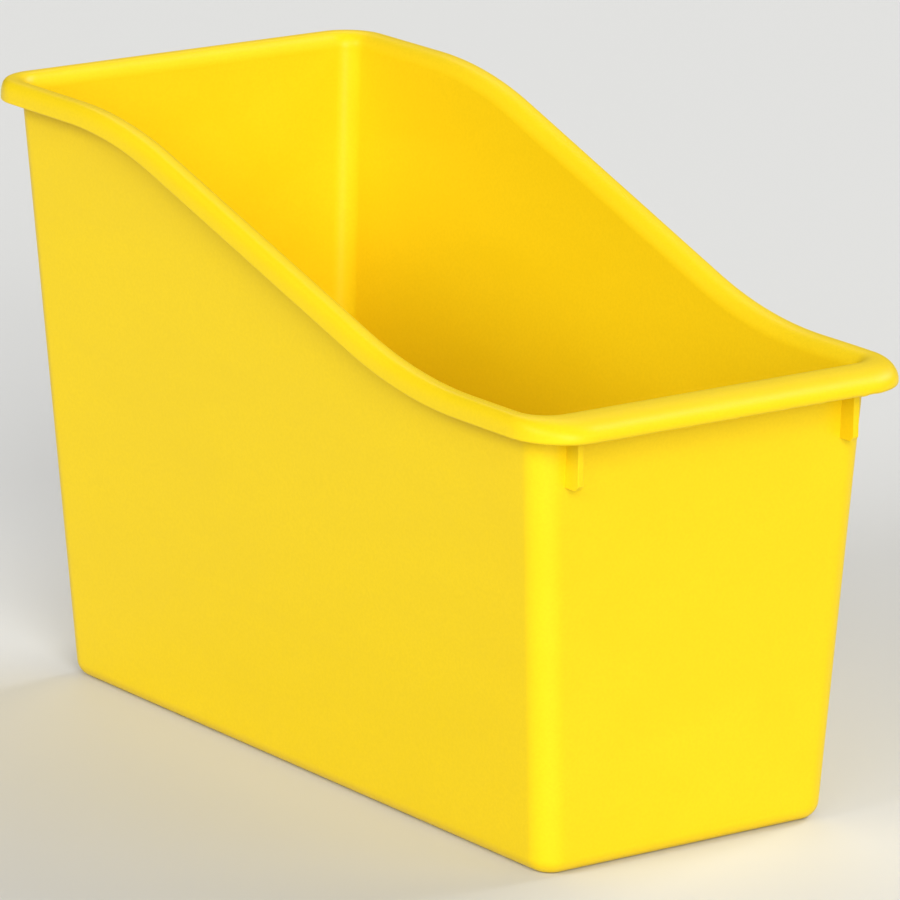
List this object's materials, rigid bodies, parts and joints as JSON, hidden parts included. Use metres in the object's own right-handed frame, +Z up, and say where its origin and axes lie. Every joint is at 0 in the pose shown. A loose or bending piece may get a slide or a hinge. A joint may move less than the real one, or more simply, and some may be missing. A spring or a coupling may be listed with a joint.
{
  "type": "open-fronted storage bin",
  "caption": "Narrow tapered plastic storage bin with a low front, sides that sweep up to a high back, a rolled rim and a deep pull lip.",
  "frame": {"origin": "on the surface the bin stands on, under the middle of its outer box", "axes": "+Z up; -Y towards the low front and its pull lip; +X to the bin's left-hand side as it faces forwards, which is the right as seen from the front"},
  "size_m": [0.14, 0.288, 0.1895],
  "materials": {
    "yellow_polypropylene": "moulded, satin, coloured through"
  },
  "bodies": {
    "root": {"floor_pan": "yellow_polypropylene", "front_wall": "yellow_polypropylene", "back_wall": "yellow_polypropylene", "left_wall": "yellow_polypropylene", "right_wall": "yellow_polypropylene", "corner_front_left": "yellow_polypropylene", "corner_front_right": "yellow_polypropylene", "corner_back_left": "yellow_polypropylene", "corner_back_right": "yellow_polypropylene", "rim_front": "yellow_polypropylene", "rim_back": "yellow_polypropylene", "rim_left": "yellow_polypropylene", "rim_right": "yellow_polypropylene", "rim_corner_front_left": "yellow_polypropylene", "rim_corner_front_right": "yellow_polypropylene", "rim_corner_back_left": "yellow_polypropylene", "rim_corner_back_right": "yellow_polypropylene", "rib_left": "yellow_polypropylene", "rib_right": "yellow_polypropylene"}
  },
  "joints": []
}
